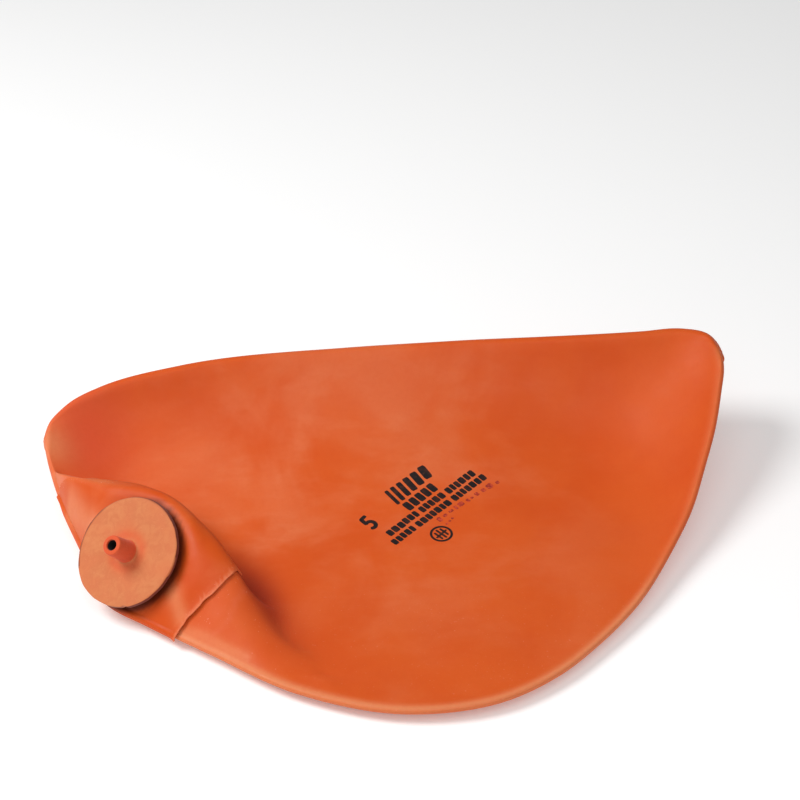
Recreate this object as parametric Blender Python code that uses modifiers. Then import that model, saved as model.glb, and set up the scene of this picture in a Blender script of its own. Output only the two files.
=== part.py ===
"""Seamless latex ball bladder, size 5, let down: its walls lie together and the double sheet is folded once.

Run with: blender --background --python part.py
Metres, +Z up. The part lies on z = 0 with its origin under the middle of its box. +X is its length,
along the fold, and the mouth of the fold faces -Y. The valve points up and out at the near left.
"""

import math

import bmesh
import bpy
import numpy as np
from mathutils import Matrix, Vector

MM = 0.001

# The envelope: two walls close together make one sheet, and the sheet is folded once along its far edge.
WALL = 0.6 * MM
SHEET = 2.0 * MM
LEAF_GAP = 0.8 * MM
STACK = 2 * SHEET + LEAF_GAP

# The lower lip lies back under the upper one, and further back where the lip stands high.
LOWER_LIP_SET_BACK = 3.0 * MM
SET_BACK_PER_HEIGHT = 0.22
MOST_SET_BACK_SHARE = 0.45

# The upper side of the lip, from the left tip round the near side to the right tip, in mm.
LIP = [
    (-108.0, 32.0, 22.0), (-104.5, 22.0, 17.0), (-99.5, 10.5, 12.0), (-92.0, -4.5, 7.5),
    (-82.0, -26.5, 5.2), (-68.5, -36.5, 5.0), (-50.0, -49.0, 5.0), (-24.0, -65.5, 5.0),
    (8.0, -73.5, 5.0), (32.0, -69.0, 5.0), (49.0, -58.0, 5.0), (61.0, -45.5, 5.2),
    (74.5, -28.0, 6.5), (85.5, -8.0, 9.5), (93.0, 7.5, 13.5), (98.0, 21.5, 18.5),
    (102.5, 34.5, 24.0), (106.0, 48.0, 30.0), (107.7, 56.0, 34.3), (107.6, 61.5, 36.6),
]
# The top of the fold, from the left tip along the far side to the right tip, in mm.
FOLD = [
    (-108.0, 32.0, 22.0), (-106.0, 37.5, 23.5), (-101.5, 43.0, 25.0), (-91.0, 50.5, 26.5),
    (-67.0, 58.5, 29.0), (-12.0, 67.0, 31.0), (21.0, 69.0, 32.0), (84.0, 69.5, 35.0),
    (97.0, 69.8, 36.4), (103.8, 67.6, 37.0), (107.6, 61.5, 36.6),
]

# How late the dish's floor turns up towards the lip and the fold, and the row length at which it lies flat.
DISH_LIP_POWER = 4.0
DISH_FOLD_POWER = 5.5
FULL_SAG_LENGTH = 105 * MM

# The ridge of the swelling round the valve, from the left lobe to where it dies out, in mm.
RIDGE = [
    (-104.0, 19.5, 17.0), (-98.3, 12.5, 20.6), (-91.0, 6.5, 23.2), (-84.7, 3.0, 24.8), (-77.5, -0.5, 26.5),
    (-70.5, -5.0, 27.4), (-64.0, -9.5, 27.2), (-57.0, -15.2, 25.8), (-50.6, -21.0, 23.2),
    (-46.8, -26.0, 20.8), (-44.0, -30.0, 18.4), (-40.0, -37.0, 14.0), (-36.4, -42.0, 10.5),
    (-30.5, -48.5, 7.5), (-22.0, -56.0, 5.6),
]

# The swelling's outer side is arched; its back is steepest in the valley near the ridge's low end.
FRONT_TURN = math.radians(102)
BACK_STEEPNESS = 1.8
VALLEY_STEEPNESS = 1.0
VALLEY_PLACE = 0.72
VALLEY_REACH = 0.2
LEAST_BACK_HEIGHT = 3 * MM

# The valve stands on the swelling's outer slope.
VALVE_SEAT = Vector((-73.7 * MM, -20.2 * MM, 16.0 * MM))
VALVE_AXIS = Vector((-0.41, -0.55, 0.73)).normalized()
FLAT_RADIUS = 15 * MM
FLAT_FADE = 25 * MM
FLAT_LIP_MARGIN = 5 * MM

# How the surface is divided: stations along the lip, crowded round the valve and at the tips, and rows across.
STATIONS = 42
LEAF_ROWS = 14
ROW_CROWDING = 1.3
FOLD_STEPS = 3
LIP_STEPS = 3
TIP_SHARE = 0.012
VALVE_CROWDING = 1.8
VALVE_SHARE = 0.2
VALVE_SPREAD = 0.13
TIP_CROWDING = 2.5
TIP_SPREAD = 0.03
FINE_SHARES = 400
STEPS_PER_KNOT = 40
RIDGE_SAMPLES = 300
LIP_SAMPLES = 900
SHARP_ANGLE = math.radians(40)
MERGE_DISTANCE = 0.02 * MM

# The patch is a latex disc cemented round the neck hole.
PATCH_RADIUS = 28.5 * MM
PATCH_THICKNESS = 0.8 * MM
PATCH_DROP_OVER_RIDGE = 9 * MM
PATCH_STRIP_MARGIN = 14 * MM
PATCH_STRIP_FARTHEST_Y = 20 * MM
CLEARANCE = 0.3 * MM
NECK_HOLE_RADIUS = 6.1 * MM
NECK_HOLE_BOTTOM = -3 * MM
NECK_HOLE_TOP = 4 * MM

# The valve moulding, as heights over the seat along its axis, and radii.
STEM_TOP = 13.0 * MM
STEM_RADIUS = 3.3 * MM
STEM_TIP_RADIUS = 2.95 * MM
STEM_TIP_BEVEL = 0.35 * MM
STEM_FILLET = 0.7 * MM
BORE_RADIUS = 1.6 * MM
BORE_BEVEL = 0.2 * MM
FLANGE_TOP = 4.8 * MM
FLANGE_UNDERSIDE = 3.0 * MM
FLANGE_RADIUS = 16.7 * MM
FLANGE_EDGE_ROUND = 0.5 * MM
NECK_RADIUS = 5.5 * MM
COLLAR_TOP = -1.8 * MM
COLLAR_UNDERSIDE = -3.2 * MM
COLLAR_RADIUS = 7.5 * MM
HUB_BOTTOM = -9.0 * MM
CHAMBER_RADIUS = 3.8 * MM
CHAMBER_TOP = -1.0 * MM
CHAMBER_BOTTOM = -8.4 * MM
HUB_TAPER = 0.2 * MM
HUB_BEVEL = 0.4 * MM
RETAINING_HOLE_RADIUS = 2.2 * MM
CORE_CHANNEL_RADIUS = 0.5 * MM
CORE_BEVEL = 0.4 * MM
ROUND_STEPS = 44

LATEX_ORANGE = (0.68, 0.115, 0.022, 1.0)
PATCH_ORANGE = (0.66, 0.14, 0.035, 1.0)
RUBBER_TAN = (0.74, 0.25, 0.11, 1.0)
CORE_AMBER = (0.55, 0.28, 0.12, 1.0)


def clear_scene():
    """Removes what the startup scene holds."""
    for thing in list(bpy.data.objects):
        bpy.data.objects.remove(thing)


def new_collection(name):
    made = bpy.data.collections.new(name)
    bpy.context.scene.collection.children.link(made)
    return made


def rubber(name, colour, roughness):
    """A plain rubber material."""
    made = bpy.data.materials.new(name)
    made.use_nodes = True
    shader = made.node_tree.nodes["Principled BSDF"]
    shader.inputs["Base Color"].default_value = colour
    shader.inputs["Roughness"].default_value = roughness
    shader.inputs["Metallic"].default_value = 0.0
    return made


def curve_through(points, shares):
    """Points at the given shares of the length of a smooth curve through the listed points."""
    knots = np.array(points) * MM
    at = np.concatenate([[0.0], np.cumsum(np.linalg.norm(np.diff(knots, axis=0), axis=1))])
    slopes = np.gradient(knots, at, axis=0)
    fine = np.linspace(0.0, at[-1], STEPS_PER_KNOT * len(knots))
    start = np.clip(np.searchsorted(at, fine, side="right") - 1, 0, len(at) - 2)
    span = (at[start + 1] - at[start])[:, None]
    f = (fine - at[start])[:, None] / span
    curve = (1 - f) ** 2 * ((1 + 2 * f) * knots[start] + f * span * slopes[start])
    curve += f**2 * ((3 - 2 * f) * knots[start + 1] - (1 - f) * span * slopes[start + 1])
    run = np.concatenate([[0.0], np.cumsum(np.linalg.norm(np.diff(curve, axis=0), axis=1))])
    wanted = np.asarray(shares) * run[-1]
    return np.stack([np.interp(wanted, run, curve[:, axis]) for axis in range(3)], axis=-1)


def smooth_step(value):
    """0 below 0, 1 above 1, and smooth between."""
    v = np.clip(value, 0.0, 1.0)
    return v**3 * (v * (6 * v - 15) + 10)


def bump(distance, width):
    """1 at no distance, falling smoothly to almost nothing at twice the width."""
    return np.exp(-((distance / width) ** 2))


def station_shares(count):
    """Shares along the lip and the fold, closer together round the valve and at both tips."""
    fine = np.linspace(TIP_SHARE, 1 - TIP_SHARE, FINE_SHARES)
    density = 1 + VALVE_CROWDING * bump(fine - VALVE_SHARE, VALVE_SPREAD)
    density += TIP_CROWDING * (np.exp(-fine / TIP_SPREAD) + np.exp(-(1 - fine) / TIP_SPREAD))
    run = np.cumsum(density)
    run = (run - run[0]) / (run[-1] - run[0])
    return np.interp(np.linspace(0.0, 1.0, count), run, fine)


def dish_surface(shares, rows):
    """The top of the folded sheet before it swells, as a grid of points, one line of rows for each share."""
    lip = curve_through(LIP, shares)[:, None, :]
    fold = curve_through(FOLD, shares)[:, None, :]
    t = np.asarray(rows)[None, :]
    grid = lip + (fold - lip) * t[:, :, None]
    length = np.linalg.norm((fold - lip)[..., :2], axis=-1)
    sagged = STACK + (lip[..., 2] - STACK) * (1 - t) ** DISH_LIP_POWER
    sagged = sagged + (fold[..., 2] - STACK) * t**DISH_FOLD_POWER
    grid[..., 2] += (sagged - grid[..., 2]) * smooth_step(length / FULL_SAG_LENGTH)
    return grid


def surface_normals(grid):
    """Upward unit normals of a grid of points."""
    normals = np.cross(np.gradient(grid, axis=0), np.gradient(grid, axis=1))
    return normals / np.linalg.norm(normals, axis=-1, keepdims=True)


def nearest_on(line, plan):
    """Distance to the line in plan, and the index of its nearest point, for each point of the grid."""
    gaps = np.linalg.norm(plan[..., None, :] - line[:, :2], axis=-1)
    return gaps.min(axis=-1), gaps.argmin(axis=-1)


def swelling(grid):
    """How far the upper wall stands over the dish where the valve's hub and the patch hold it up."""
    plan = grid[..., :2]
    ridge = curve_through(RIDGE, np.linspace(0, 1, RIDGE_SAMPLES))
    lip = curve_through(LIP, np.linspace(0, 1, LIP_SAMPLES))
    to_ridge, nearest = nearest_on(ridge, plan)
    to_lip, _ = nearest_on(lip, plan)
    along = np.gradient(ridge[:, :2], axis=0)[nearest]
    offset = plan - ridge[nearest][..., :2]
    outer_side = along[..., 0] * offset[..., 1] - along[..., 1] * offset[..., 0] < 0
    height = ridge[nearest][..., 2] - grid[..., 2]
    climb = to_lip / (to_lip + to_ridge + 1e-9)
    front = np.sin(FRONT_TURN * climb) / math.sin(FRONT_TURN)
    steepness = BACK_STEEPNESS + VALLEY_STEEPNESS * bump(nearest / RIDGE_SAMPLES - VALLEY_PLACE, VALLEY_REACH)
    back = bump(to_ridge, np.maximum(height, LEAST_BACK_HEIGHT) / steepness)
    raised = height * np.where(outer_side, front, back)
    seat = np.array(VALVE_SEAT)
    axis = np.array(VALVE_AXIS)
    across = plan - seat[:2]
    plane = seat[2] - (across @ axis[:2]) / axis[2]
    from_seat = np.sqrt((across**2).sum(axis=-1) + (plane - seat[2]) ** 2)
    flat = 1 - smooth_step((from_seat - FLAT_RADIUS) / (FLAT_FADE - FLAT_RADIUS))
    flat = flat * smooth_step(to_lip / FLAT_LIP_MARGIN)
    raised = raised + (plane - grid[..., 2] - raised) * flat
    return np.maximum(raised, 0.0)


def folded_sheet(shares, rows):
    """Mid-surface of the folded double sheet, half its thickness as vectors, and the upper wall's swelling."""
    dish = dish_surface(shares, rows)
    normals = surface_normals(dish)
    raised = swelling(dish)
    upper = dish - normals * SHEET / 2
    out = dish[:, -1] - dish[:, -2]
    out = out / np.linalg.norm(out, axis=-1, keepdims=True)
    turns = [math.pi * step / (FOLD_STEPS + 1) for step in range(1, FOLD_STEPS + 1)]
    radial = [math.cos(turn) * normals[:, -1] + math.sin(turn) * out for turn in turns]
    radius = (STACK - SHEET) / 2
    centre = dish[:, -1] - normals[:, -1] * STACK / 2
    folds = np.stack([centre + way * radius for way in radial], axis=1)
    length = np.linalg.norm(dish[:, -1] - dish[:, 0], axis=-1)
    set_back = LOWER_LIP_SET_BACK + SET_BACK_PER_HEIGHT * (dish[:, 0, 2] - STACK)
    set_back = np.minimum(set_back / length, MOST_SET_BACK_SHARE)[:, None]
    below_rows = set_back + (1 - set_back) * np.asarray(rows)[None, :]
    lower_dish = rows_at(dish, rows, below_rows)
    lower_normals = rows_at(normals, rows, below_rows)
    lower = (lower_dish - lower_normals * (STACK - SHEET / 2))[:, ::-1]
    middle = np.concatenate([upper, folds, lower], axis=1)
    half = np.concatenate([normals, np.stack(radial, axis=1), -lower_normals[:, ::-1]], axis=1) * SHEET / 2
    lift = np.zeros(middle.shape[:2])
    lift[:, : raised.shape[1]] = raised
    return middle, half, lift


def rows_at(grid, rows, wanted):
    """The grid's values at other row positions, each station by its own list."""
    found = np.empty(grid.shape)
    for station in range(grid.shape[0]):
        for axis in range(3):
            found[station, :, axis] = np.interp(wanted[station], rows, grid[station, :, axis])
    return found


def edge_of(middle, half):
    """The grid's outline in order, as index pairs, and the direction out of the sheet at each."""
    last_station, last_row = middle.shape[0] - 1, middle.shape[1] - 1
    loop = [(s, 0) for s in range(last_station)]
    loop += [(last_station, r) for r in range(last_row)]
    loop += [(s, last_row) for s in range(last_station, 0, -1)]
    loop += [(0, r) for r in range(last_row, 0, -1)]
    ways = []
    for s, r in loop:
        inside = (min(max(s, 1), last_station - 1), min(max(r, 1), last_row - 1))
        way = middle[s, r] - middle[inside]
        thick = half[s, r] / np.linalg.norm(half[s, r])
        way = way - thick * (way @ thick)
        ways.append(way / np.linalg.norm(way))
    return loop, np.array(ways)


def round_edge(middle, half, steps):
    """Rows of points that join the sheet's outer side to its inner side round its edge."""
    loop, ways = edge_of(middle, half)
    where = tuple(np.array(loop).T)
    rows = []
    for step in range(1, steps + 1):
        turn = math.pi * step / (steps + 1)
        out = ways * np.linalg.norm(half[where], axis=-1, keepdims=True)
        rows.append(middle[where] + math.cos(turn) * half[where] + math.sin(turn) * out)
    return loop, rows


def grid_faces(bm, verts):
    """Triangles over a grid of vertices, each cell split the same way, so that offset copies never cross."""
    for first, second in zip(verts, verts[1:]):
        for a, b, c, d in zip(first, second, second[1:], first[1:]):
            bm.faces.new((a, b, c))
            bm.faces.new((a, c, d))


def vert_grid(bm, points):
    return [[bm.verts.new(point) for point in line] for line in points]


def object_from(bm, name, material, collection):
    """A mesh object of the finished shape, shaded smooth with its sharp edges kept."""
    mesh = bpy.data.meshes.new(name)
    bm.to_mesh(mesh)
    bm.free()
    mesh.shade_smooth()
    mesh.set_sharp_from_angle(angle=SHARP_ANGLE)
    mesh.materials.append(material)
    made = bpy.data.objects.new(name, mesh)
    collection.objects.link(made)
    return made


def skin_points():
    """Grids of points on the folded bladder's outer and inner sides, its outline and its edge's rows."""
    rows = np.linspace(0, 1, LEAF_ROWS) ** ROW_CROWDING
    middle, half, lift = folded_sheet(station_shares(STATIONS), rows)
    outer = middle + half
    outer[..., 2] += lift
    loop, edge_rows = round_edge(middle, half, LIP_STEPS)
    return outer, middle - half, loop, edge_rows


def envelope_skin(material, collection):
    """The outer skin of the folded bladder, one closed surface."""
    outer, inner, loop, edge_rows = skin_points()
    bm = bmesh.new()
    outer_verts = vert_grid(bm, outer)
    inner_verts = vert_grid(bm, inner)
    grid_faces(bm, outer_verts)
    grid_faces(bm, inner_verts)
    bands = [[outer_verts[s][r] for s, r in loop]]
    bands += vert_grid(bm, edge_rows)
    bands.append([inner_verts[s][r] for s, r in loop])
    grid_faces(bm, [band + band[:1] for band in bands])
    bmesh.ops.recalc_face_normals(bm, faces=bm.faces)
    return object_from(bm, "bladder_envelope", material, collection)


def patch_sheet(material, collection):
    """A piece of sheet just over the envelope's outer side, from its lip inwards, larger than the patch."""
    outer, _, _, edge_rows = skin_points()
    reach = PATCH_RADIUS + PATCH_STRIP_MARGIN
    near = np.linalg.norm(outer[:, 0] - np.array(VALVE_SEAT), axis=-1) < reach
    stations = np.flatnonzero(near)
    nearest_y = outer[stations[0] : stations[-1], :LEAF_ROWS, 1].min(axis=0)
    last_row = int((nearest_y < PATCH_STRIP_FARTHEST_Y).sum())
    lips = np.stack([row[: STATIONS - 1] for row in edge_rows[1::-1]], axis=1)
    strip = np.concatenate([lips[stations], outer[stations, :last_row]], axis=1)
    bm = bmesh.new()
    grid_faces(bm, vert_grid(bm, strip))
    bm.normal_update()
    up = sum((face.normal for face in bm.faces), Vector())
    if up.z < 0:
        bmesh.ops.reverse_faces(bm, faces=bm.faces)
    bm.normal_update()
    for vert in bm.verts:
        vert.co += vert.normal * CLEARANCE
    made = object_from(bm, "valve_patch", material, collection)
    solidify = made.modifiers.new("thickness", "SOLIDIFY")
    solidify.thickness = PATCH_THICKNESS
    solidify.offset = 1.0
    solidify.use_even_offset = True
    return made


def along_axis(local):
    """Where a piece's local Z lies along the valve's axis, its X level and its Y up the slope."""
    up_slope = (Vector((0, 0, 1)) - VALVE_AXIS * VALVE_AXIS.z).normalized()
    level = up_slope.cross(VALVE_AXIS)
    turn = Matrix((level, up_slope, VALVE_AXIS)).transposed().to_4x4()
    return Matrix.Translation(VALVE_SEAT) @ turn @ Matrix.Translation(local)


def cylinder(name, radius, low, high, collection):
    """A closed cylinder along the valve's axis, kept as a cutter."""
    bm = bmesh.new()
    bmesh.ops.create_cone(
        bm, cap_ends=True, segments=ROUND_STEPS, radius1=radius, radius2=radius, depth=high - low
    )
    mesh = bpy.data.meshes.new(name)
    bm.to_mesh(mesh)
    bm.free()
    made = bpy.data.objects.new(name, mesh)
    made.matrix_world = along_axis(Vector((0, 0, (low + high) / 2)))
    made.hide_render = True
    made.display_type = "WIRE"
    collection.objects.link(made)
    return made


def cut(target, cutter, operation, solver="EXACT"):
    boolean = target.modifiers.new(cutter.name, "BOOLEAN")
    boolean.operation = operation
    boolean.object = cutter
    boolean.solver = solver


def turned(name, profile, material, collection, parent):
    """A solid of revolution about the valve's axis from a closed profile of radius and height."""
    bm = bmesh.new()
    verts = [bm.verts.new((radius, 0, height)) for radius, height in profile]
    for a, b in zip(verts, verts[1:] + verts[:1]):
        bm.edges.new((a, b))
    made = object_from(bm, name, material, collection)
    screw = made.modifiers.new("turn", "SCREW")
    screw.steps = ROUND_STEPS
    screw.render_steps = ROUND_STEPS
    screw.use_merge_vertices = True
    screw.merge_threshold = MERGE_DISTANCE
    made.parent = parent
    return made


def body_profile():
    """Stem, flange, neck, collar and hub, down the outer side and back up the bore."""
    r = FLANGE_EDGE_ROUND
    outer = [(BORE_RADIUS + BORE_BEVEL, STEM_TOP), (STEM_TIP_RADIUS - STEM_TIP_BEVEL, STEM_TOP)]
    outer += [(STEM_TIP_RADIUS, STEM_TOP - STEM_TIP_BEVEL), (STEM_RADIUS, FLANGE_TOP + STEM_FILLET)]
    outer += [(STEM_RADIUS + 0.3 * STEM_FILLET, FLANGE_TOP + 0.3 * STEM_FILLET)]
    outer += [(STEM_RADIUS + STEM_FILLET, FLANGE_TOP)]
    outer += [(FLANGE_RADIUS - r, FLANGE_TOP), (FLANGE_RADIUS - 0.3 * r, FLANGE_TOP - 0.3 * r)]
    outer += [(FLANGE_RADIUS, FLANGE_TOP - r), (FLANGE_RADIUS, FLANGE_UNDERSIDE + r)]
    outer += [(FLANGE_RADIUS - r, FLANGE_UNDERSIDE), (NECK_RADIUS, FLANGE_UNDERSIDE)]
    outer += [(NECK_RADIUS, COLLAR_TOP), (COLLAR_RADIUS, COLLAR_TOP)]
    outer += [(COLLAR_RADIUS, COLLAR_UNDERSIDE), (NECK_RADIUS, COLLAR_UNDERSIDE)]
    outer += [(NECK_RADIUS - HUB_TAPER, HUB_BOTTOM + HUB_BEVEL)]
    outer += [(NECK_RADIUS - HUB_TAPER - HUB_BEVEL, HUB_BOTTOM)]
    inner = [(RETAINING_HOLE_RADIUS, HUB_BOTTOM), (RETAINING_HOLE_RADIUS, CHAMBER_BOTTOM)]
    inner += [(CHAMBER_RADIUS, CHAMBER_BOTTOM), (CHAMBER_RADIUS, CHAMBER_TOP)]
    inner += [(BORE_RADIUS, CHAMBER_TOP), (BORE_RADIUS, STEM_TOP - BORE_BEVEL)]
    return outer + inner


def core_profile():
    """A plug that fills the chamber, with the fine channel that a needle opens."""
    top = CHAMBER_TOP - CLEARANCE
    bottom = CHAMBER_BOTTOM + CLEARANCE
    side = CHAMBER_RADIUS - CLEARANCE
    outer = [(CORE_CHANNEL_RADIUS, top), (side - CORE_BEVEL, top), (side, top - CORE_BEVEL)]
    outer += [(side, bottom + CORE_BEVEL), (side - CORE_BEVEL, bottom)]
    return outer + [(CORE_CHANNEL_RADIUS, bottom)]


def main():
    clear_scene()
    parts = new_collection("ball_bladder")
    cutters = new_collection("cutters")
    cutters.hide_render = True
    latex = rubber("orange_latex", LATEX_ORANGE, 0.55)
    patch_latex = rubber("patch_latex", PATCH_ORANGE, 0.6)
    tan = rubber("tan_rubber", RUBBER_TAN, 0.75)
    amber = rubber("amber_gum", CORE_AMBER, 0.5)

    neck_hole = cylinder("neck_hole", NECK_HOLE_RADIUS, NECK_HOLE_BOTTOM, NECK_HOLE_TOP, cutters)
    patch_outline = cylinder("patch_outline", PATCH_RADIUS, -PATCH_DROP_OVER_RIDGE, PATCH_RADIUS, cutters)

    envelope = envelope_skin(latex, parts)
    walls = envelope.modifiers.new("wall", "SOLIDIFY")
    walls.thickness = WALL
    walls.offset = -1.0
    cut(envelope, neck_hole, "DIFFERENCE")

    patch = patch_sheet(patch_latex, parts)
    cut(patch, patch_outline, "INTERSECT", "MANIFOLD")
    cut(patch, neck_hole, "DIFFERENCE", "MANIFOLD")

    seat = bpy.data.objects.new("valve_seat", None)
    seat.matrix_world = along_axis(Vector())
    parts.objects.link(seat)
    turned("valve_body", body_profile(), tan, parts, seat)
    turned("valve_core", core_profile(), amber, parts, seat)


main()
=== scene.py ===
"""Looks of the let-down seamless latex ball bladder: skin, cemented patch, flange valve and ink stamp.

Metres, +Z up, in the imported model's frame. The mouth of the fold faces -Y and the valve is at the near left.
"""

import math
import random

import bmesh
import bpy
import numpy as np
from mathutils import Matrix, Vector
from mathutils.bvhtree import BVHTree


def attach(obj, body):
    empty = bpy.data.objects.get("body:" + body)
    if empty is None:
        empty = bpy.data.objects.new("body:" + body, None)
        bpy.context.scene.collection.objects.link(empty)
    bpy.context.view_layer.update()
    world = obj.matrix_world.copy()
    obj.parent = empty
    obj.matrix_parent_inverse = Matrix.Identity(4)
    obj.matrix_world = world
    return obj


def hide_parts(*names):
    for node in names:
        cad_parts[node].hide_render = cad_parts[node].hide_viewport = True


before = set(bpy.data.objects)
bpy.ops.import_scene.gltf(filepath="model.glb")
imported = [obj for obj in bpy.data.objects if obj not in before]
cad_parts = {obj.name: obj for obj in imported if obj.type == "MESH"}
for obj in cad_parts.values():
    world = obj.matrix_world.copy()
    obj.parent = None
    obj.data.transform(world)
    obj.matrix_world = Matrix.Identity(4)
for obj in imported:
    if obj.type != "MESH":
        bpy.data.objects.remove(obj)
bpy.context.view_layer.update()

MM = 0.001

# The folded sheet, as in the CAD.
WALL = 0.6 * MM
SHEET = 2.0 * MM
LEAF_GAP = 0.8 * MM
STACK = 2 * SHEET + LEAF_GAP
LOWER_LIP_SET_BACK = 3.0 * MM
SET_BACK_PER_HEIGHT = 0.22
MOST_SET_BACK_SHARE = 0.45
LIP = [
    (-108.0, 32.0, 22.0), (-104.5, 22.0, 17.0), (-99.5, 10.5, 12.0), (-92.0, -4.5, 7.5),
    (-82.0, -26.5, 5.2), (-68.5, -36.5, 5.0), (-50.0, -49.0, 5.0), (-24.0, -65.5, 5.0),
    (8.0, -73.5, 5.0), (32.0, -69.0, 5.0), (49.0, -58.0, 5.0), (61.0, -45.5, 5.2),
    (74.5, -28.0, 6.5), (85.5, -8.0, 9.5), (93.0, 7.5, 13.5), (98.0, 21.5, 18.5),
    (102.5, 34.5, 24.0), (106.0, 48.0, 30.0), (107.7, 56.0, 34.3), (107.6, 61.5, 36.6),
]
FOLD = [
    (-108.0, 32.0, 22.0), (-106.0, 37.5, 23.5), (-101.5, 43.0, 25.0), (-91.0, 50.5, 26.5),
    (-67.0, 58.5, 29.0), (-12.0, 67.0, 31.0), (21.0, 69.0, 32.0), (84.0, 69.5, 35.0),
    (97.0, 69.8, 36.4), (103.8, 67.6, 37.0), (107.6, 61.5, 36.6),
]
DISH_LIP_POWER = 4.0
DISH_FOLD_POWER = 5.5
FULL_SAG_LENGTH = 105 * MM
RIDGE = [
    (-104.0, 19.5, 17.0), (-98.3, 12.5, 20.6), (-91.0, 6.5, 23.2), (-84.7, 3.0, 24.8), (-77.5, -0.5, 26.5),
    (-70.5, -5.0, 27.4), (-64.0, -9.5, 27.2), (-57.0, -15.2, 25.8), (-50.6, -21.0, 23.2),
    (-46.8, -26.0, 20.8), (-44.0, -30.0, 18.4), (-40.0, -37.0, 14.0), (-36.4, -42.0, 10.5),
    (-30.5, -48.5, 7.5), (-22.0, -56.0, 5.6),
]
FRONT_TURN = math.radians(102)
BACK_STEEPNESS = 1.8
VALVE_SEAT = Vector((-73.7 * MM, -20.2 * MM, 16.0 * MM))
VALVE_AXIS = Vector((-0.41, -0.55, 0.73)).normalized()
FLAT_RADIUS = 15 * MM
FLAT_FADE = 25 * MM
FLAT_LIP_MARGIN = 5 * MM
TIP_SHARE = 0.003
TIP_ROUND_SHARE = 0.024
TIP_WALL_REACH = 9 * MM
TIP_WALL_SHARE = 0.15
TIP_START = 0.02
LEAST_RIDGE_HEIGHT = 3 * MM
NO_DISTANCE = 1e-9

# Behind the ridge the valley is steeper and shorter than in the CAD, and the ridge's tail falls more gently.
VALLEY_STEEPNESS = 2.6
VALLEY_PLACE = 0.6
VALLEY_REACH = 0.12
TAIL_PLACE = 0.66
TAIL_LENGTH = 0.16
TAIL_EASING = 0.5

# How finely the skin is made here.
STATIONS = 200
UPPER_ROWS = 68
LOWER_ROWS = 34
ROW_CROWDING = 1.3
FOLD_STEPS = 6
LIP_STEPS = 5
CURVE_SAMPLES = 1200
SAMPLES_PER_KNOT = 200
VALVE_SHARE = 0.2
VALVE_CROWD_REACH = 0.13
VALVE_CROWDING = 1.8
TIP_CROWD_REACH = 0.03
TIP_CROWDING = 2.5

# The patch and the valve.
PATCH_THICKNESS = 0.45 * MM
PATCH_OUTLINE = [
    (-180, 43.0), (-160, 36.0), (-120, 29.0), (-60, 31.0), (-36, 30.4), (-22, 27.2), (-6, 28.4), (10, 31.0),
    (24, 33.0), (60, 30.3), (100, 29.0), (130, 27.0), (146, 28.0), (156, 34.0), (168, 42.0), (180, 43.0),
]
PATCH_DROP_OVER_RIDGE = 9 * MM
PATCH_CUTTER_TOP = 40 * MM
PATCH_CLEARANCE = 0.15 * MM
EDGE_LIFT = 0.6 * MM
EDGE_LIFT_REACH = 2.6
LOOSE_BEARING = -28
PATCH_REACH = 54 * MM
PATCH_FAR_SIDE = 24 * MM
PATCH_LIP_STEPS = 4
UPPER_LEFT_BEARING = 150
NECK_HOLE_RADIUS = 6.1 * MM
STEM_TOP = 13.0 * MM
STEM_RADIUS = 3.3 * MM
STEM_TIP_RADIUS = 2.95 * MM
BORE_RADIUS = 1.6 * MM
FLANGE_TOP = 4.8 * MM
FLANGE_UNDERSIDE = 3.0 * MM
FLANGE_RADIUS = 16.7 * MM
FLANGE_TOP_RINGS = (4.7, 5.3, 6.0, 7.0, 8.0, 10.0, 12.0, 13.5, 15.0, 15.9)
FLANGE_UNDER_RINGS = (14.0, 11.0, 7.5)
TEAR_BEARING = -62
TEAR_DEPTH = 0.55
TEAR_WIDTH = 2.6
NECK_RADIUS = 5.5 * MM
COLLAR_TOP = -1.8 * MM
COLLAR_UNDERSIDE = -3.2 * MM
COLLAR_RADIUS = 7.5 * MM
HUB_BOTTOM = -9.0 * MM
CHAMBER_RADIUS = 3.8 * MM
CHAMBER_TOP = -1.0 * MM
CHAMBER_BOTTOM = -8.4 * MM
RETAINING_HOLE_RADIUS = 2.2 * MM
CORE_CHANNEL_RADIUS = 0.5 * MM
CORE_CLEARANCE = 0.3 * MM
ROUND_STEPS = 144
NECK_CUTTER_STEPS = 96

# The stamp: its corner and heading in plan, and how thick the ink stands.
STAMP_CORNER = (1.8 * MM, -1.0 * MM)
STAMP_HEADING = math.radians(47.8)
INK_RISE = 0.04 * MM
INK_THICKNESS = 0.08 * MM
INK_STEP = 0.5 * MM
INK_RAY_HEIGHT = 0.2
STROKE_END_WIDTH = 0.72
RING_CENTRE = (13.2, -8.6)
RING_RADIUS = 3.2
RING_STROKE = 0.75
FAINT_START = 17.0
FAINT_END = 44.0

# Where the latex is marked, with painted highlights and painted shade among the marks: places in plan and
# distances are in millimetres.
MARK_SAMPLES = 200
VALLEY = [(-46.5, -11.0, 0), (-41.5, -18.0, 0), (-37.5, -26.0, 0), (-34.0, -34.0, 0), (-26.0, -48.0, 0)]
LIP_CREST_HIGHLIGHT = [(-57.0, -43.0, 6.5), (-52.0, -45.5, 7.0), (-46.0, -49.5, 6.5), (-39.0, -54.0, 5.8)]
PATCH_RIGHT_CREST_HIGHLIGHT = [(-63.5, -30.5, 0), (-61.0, -35.0, 0), (-58.6, -40.0, 0)]
PATCH_LEFT_CREST_HIGHLIGHT = [(-97.0, 5.5, 0), (-90.5, -3.0, 0), (-83.5, -11.5, 0)]
RIDGE_HIGHLIGHT_KNOTS = 6
RIDGE_HIGHLIGHT_END = -78
TIP_HIGHLIGHT = (-106, 30)
LOBE_BLUSH = (-96, 36)
LIP_BLUSH = (-53, -47)
CENTRE_BLOOM_AND_LIGHT = (-18, 22)
MOUND_SHADE = (-40, -42)
LEFT_SMEAR = (-93, 9)
CEMENT_START = 27
CEMENT_END = 36.5
SHADE_PAST_FLANGE = 1.4
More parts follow.
